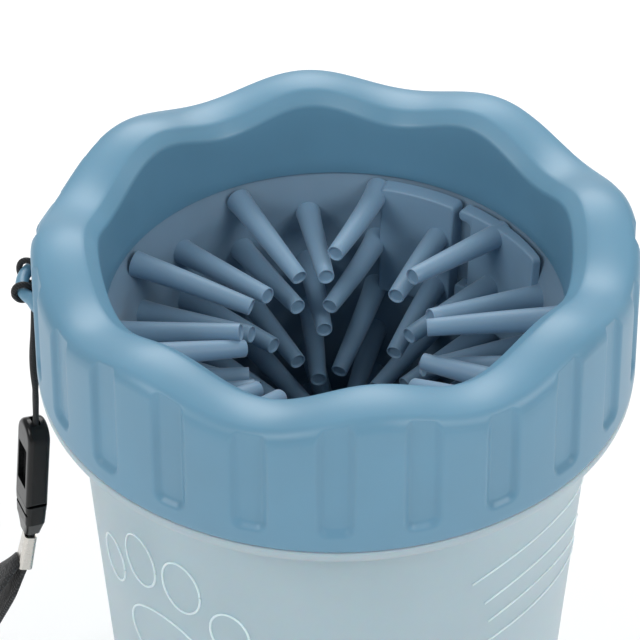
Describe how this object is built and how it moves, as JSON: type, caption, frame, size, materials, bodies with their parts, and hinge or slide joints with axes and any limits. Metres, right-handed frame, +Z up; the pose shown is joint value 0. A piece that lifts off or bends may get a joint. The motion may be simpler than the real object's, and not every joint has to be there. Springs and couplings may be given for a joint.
{
  "type": "paw washer cup",
  "caption": "Handheld paw washer: a tapered translucent cup, a fluted screw collar with a wavy rim, a bristled silicone insert and a wrist lanyard with a quick-release buckle.",
  "frame": {"origin": "centre of the cup's flat underside", "axes": "+Z up along the cup's axis, -X towards the lanyard lug"},
  "size_m": [0.2288, 0.114, 0.1503],
  "materials": {
    "cup": "frosted translucent polypropylene",
    "collar": "satin moulded plastic",
    "clamp": "satin moulded plastic",
    "silicone": "soft matt silicone",
    "cord": "braided black cord",
    "buckle": "semi-gloss black acetal",
    "crimp": "nickel-plated folded sheet",
    "strap": "woven dark webbing"
  },
  "bodies": {
    "cup": {"cup_body": "cup"},
    "insert": {"bristle_sleeve": "silicone", "closure_pad_left": "silicone", "closure_pad_right": "silicone", "bristle_row_01": "silicone", "bristle_row_02": "silicone", "bristle_row_03": "silicone", "bristle_row_04": "silicone", "bristle_row_05": "silicone", "bristle_row_06": "silicone", "bristle_row_07": "silicone", "bristle_row_08": "silicone", "bristle_row_09": "silicone", "bristle_row_10": "silicone", "bristle_row_11": "silicone", "bristle_row_12": "silicone", "bristle_row_13": "silicone", "bristle_row_14": "silicone"},
    "clamp": {"clamp_ring": "clamp"},
    "collar": {"collar": "collar", "lanyard_hitch": "cord", "lanyard_cord": "cord", "buckle_housing": "buckle"},
    "lanyard_end": {"buckle_plug": "buckle", "plug_cord": "cord", "cord_crimp": "crimp", "wrist_strap": "strap"}
  },
  "joints": [
    {"name": "head_lift", "type": "slide", "parent": "cup", "child": "insert", "axis": [0, 0, 1], "range_m": [0, 0.115]},
    {"name": "collar_rise", "type": "slide", "parent": "insert", "child": "clamp", "axis": [0, 0, 1], "range_m": [0, 0.0076]},
    {"name": "collar_turn", "type": "hinge", "parent": "clamp", "child": "collar", "pos_m": [0, 0, 0.13], "axis": [0, 0, 1], "range_deg": [0, 270]},
    {"name": "buckle_slide", "type": "slide", "parent": "collar", "child": "lanyard_end", "axis": [-0.1251, -0.061, -0.9903], "range_m": [0, 0.014]}
  ],
  "couplings": [
    {"joint": "collar_rise", "follows": "collar_turn", "m_per_rad": 0.0015915}
  ]
}
